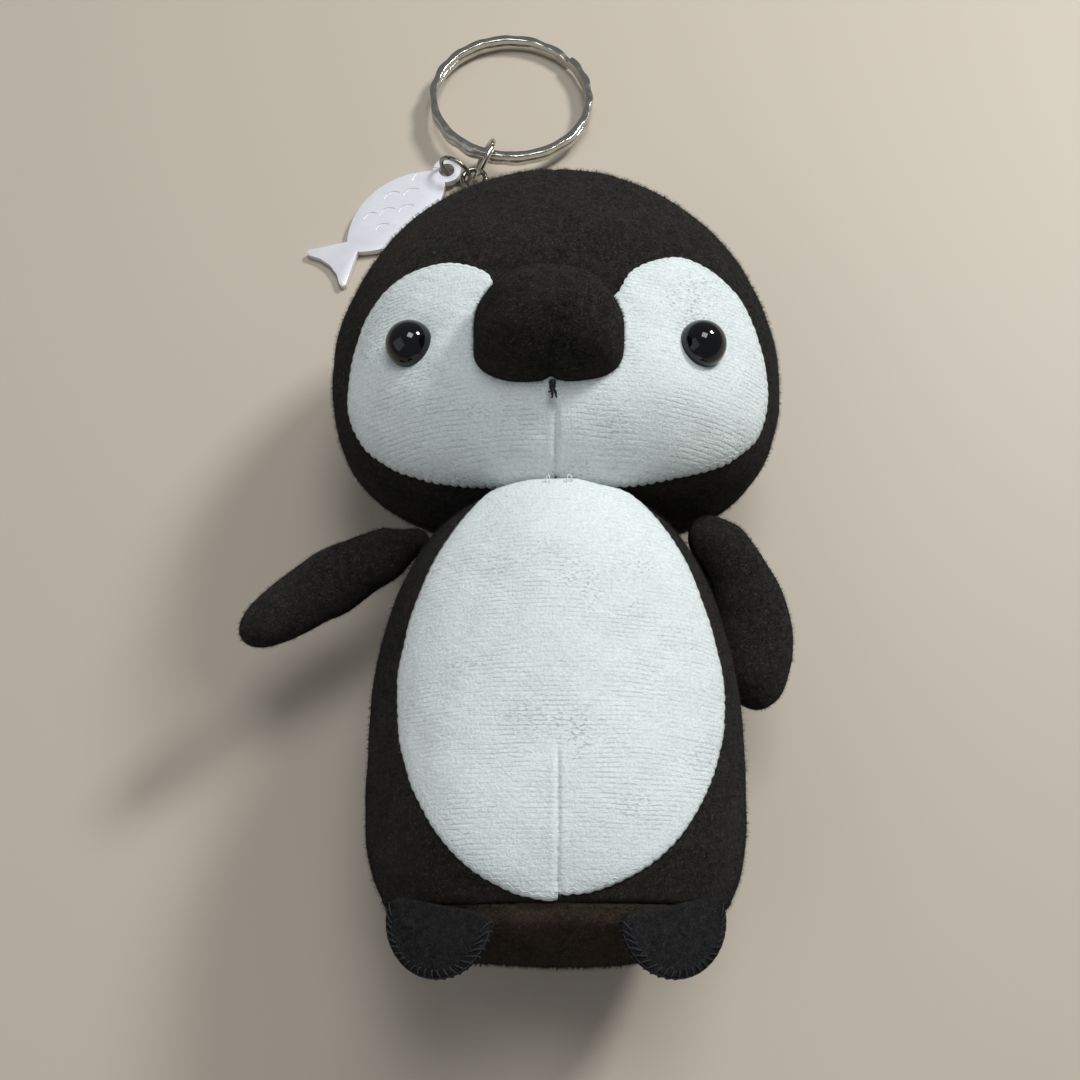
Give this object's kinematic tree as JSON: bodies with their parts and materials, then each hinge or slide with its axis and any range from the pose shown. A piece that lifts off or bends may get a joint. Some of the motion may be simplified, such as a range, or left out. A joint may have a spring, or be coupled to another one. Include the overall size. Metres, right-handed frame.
{
  "type": "plush penguin",
  "caption": "Small stuffed penguin keychain with stuffed flippers, felt feet, safety eyes, a swivel, a split ring and a fish-shaped tag.",
  "frame": {"origin": "middle of the flat of the penguin's back", "axes": "+Y towards the top of the head, +Z out of the belly, +X to the right as one looks down on its front"},
  "size_m": [0.0853, 0.1796, 0.0605],
  "materials": {
    "charcoal_fleece": "matte",
    "charcoal_fleece_base": "matte",
    "charcoal_felt": "matte",
    "white_knit": "matte",
    "sewing_thread": "matte",
    "ribbon": "matte",
    "polyester_fill": "matte",
    "black_plastic": "gloss",
    "clear_plastic": "satin",
    "nickel_steel": "satin",
    "polished_nickel": "polished",
    "pearl_steel": "satin"
  },
  "bodies": {
    "torso": {"body_front_panel": "charcoal_fleece", "body_back_panel": "charcoal_fleece", "base_panel": "charcoal_fleece_base", "belly_patch": "white_knit", "body_stuffing": "polyester_fill"},
    "neck": {"neck_thread": "sewing_thread"},
    "head": {"head_front_left": "charcoal_fleece", "head_front_right": "charcoal_fleece", "head_back": "charcoal_fleece", "face_patch_left": "white_knit", "face_patch_right": "white_knit", "head_stuffing": "polyester_fill", "beak_cover": "charcoal_fleece", "beak_stuffing": "polyester_fill", "beak_knot": "sewing_thread", "eye_left": "black_plastic", "eye_right": "black_plastic", "eye_washer_left": "clear_plastic", "eye_washer_right": "clear_plastic", "hanging_loop": "ribbon"},
    "flipper_left": {"flipper_left_cover": "charcoal_fleece", "flipper_left_stuffing": "polyester_fill"},
    "flipper_right": {"flipper_right_cover": "charcoal_fleece", "flipper_right_stuffing": "polyester_fill"},
    "foot_left": {"foot_left": "charcoal_felt"},
    "foot_right": {"foot_right": "charcoal_felt"},
    "link_ring": {"link_ring": "nickel_steel"},
    "swivel_bell": {"swivel_bell": "polished_nickel"},
    "swivel_pin": {"swivel_pin": "nickel_steel"},
    "jump_ring": {"jump_ring": "nickel_steel"},
    "split_ring": {"split_ring": "nickel_steel"},
    "tag_ring": {"tag_ring": "nickel_steel"},
    "fish_tag": {"fish_tag": "pearl_steel"}
  },
  "joints": [
    {"name": "neck_nod", "type": "hinge", "parent": "torso", "child": "neck", "pos_m": [0, 0.008, 0.0245], "axis": [1, 0, 0], "range_deg": [-4, 4], "stiffness_Nm_per_rad": 0.06},
    {"name": "neck_turn", "type": "hinge", "parent": "neck", "child": "head", "pos_m": [0, 0.008, 0.0245], "axis": [0, 1, 0], "range_deg": [-15, 15], "stiffness_Nm_per_rad": 0.06},
    {"name": "flipper_left_swing", "type": "hinge", "parent": "torso", "child": "flipper_left", "pos_m": [-0.0256, 0.0245, 0.025], "axis": [0, 0, 1], "range_deg": [-36, 40]},
    {"name": "flipper_right_swing", "type": "hinge", "parent": "torso", "child": "flipper_right", "pos_m": [0.027, 0.0245, 0.025], "axis": [0, 0, 1], "range_deg": [0, 80]},
    {"name": "foot_left_flap", "type": "hinge", "parent": "torso", "child": "foot_left", "pos_m": [-0.0136, -0.0284, 0.0432], "axis": [0.9272, 0, 0.3746], "range_deg": [-80, 10], "stiffness_Nm_per_rad": 0.00005},
    {"name": "foot_right_flap", "type": "hinge", "parent": "torso", "child": "foot_right", "pos_m": [0.0136, -0.0284, 0.0432], "axis": [0.9272, 0, -0.3746], "range_deg": [-80, 10], "stiffness_Nm_per_rad": 0.00005},
    {"name": "link_ring_swing", "type": "hinge", "parent": "head", "child": "link_ring", "pos_m": [-0.00419, 0.09631, 0.00385], "axis": [0, 0, 1], "range_deg": [-20, 20]},
    {"name": "swivel_swing", "type": "hinge", "parent": "link_ring", "child": "swivel_bell", "pos_m": [-0.00801, 0.10119, 0.00385], "axis": [0, 0, 1], "range_deg": [-20, 20]},
    {"name": "swivel_spin", "type": "hinge", "parent": "swivel_bell", "child": "swivel_pin", "pos_m": [-0.01567, 0.10809, 0.00385], "axis": [0.7431, -0.6691, 0], "continuous": true},
    {"name": "jump_ring_swing", "type": "hinge", "parent": "swivel_pin", "child": "jump_ring", "pos_m": [-0.01529, 0.10868, 0.00385], "axis": [0, 0, 1], "range_deg": [-15, 15]},
    {"name": "split_ring_swing", "type": "hinge", "parent": "jump_ring", "child": "split_ring", "pos_m": [-0.01353, 0.11325, 0.00445], "axis": [0.9511, -0.309, 0], "range_deg": [-45, 45]},
    {"name": "tag_ring_swing", "type": "hinge", "parent": "swivel_pin", "child": "tag_ring", "pos_m": [-0.01653, 0.10859, 0.00385], "axis": [-0.5, -0.866, 0], "range_deg": [-12, 15]},
    {"name": "fish_tag_swing", "type": "hinge", "parent": "tag_ring", "child": "fish_tag", "pos_m": [-0.02154, 0.11148, 0.00182], "axis": [0, 0, 1], "range_deg": [-15, 15]}
  ]
}
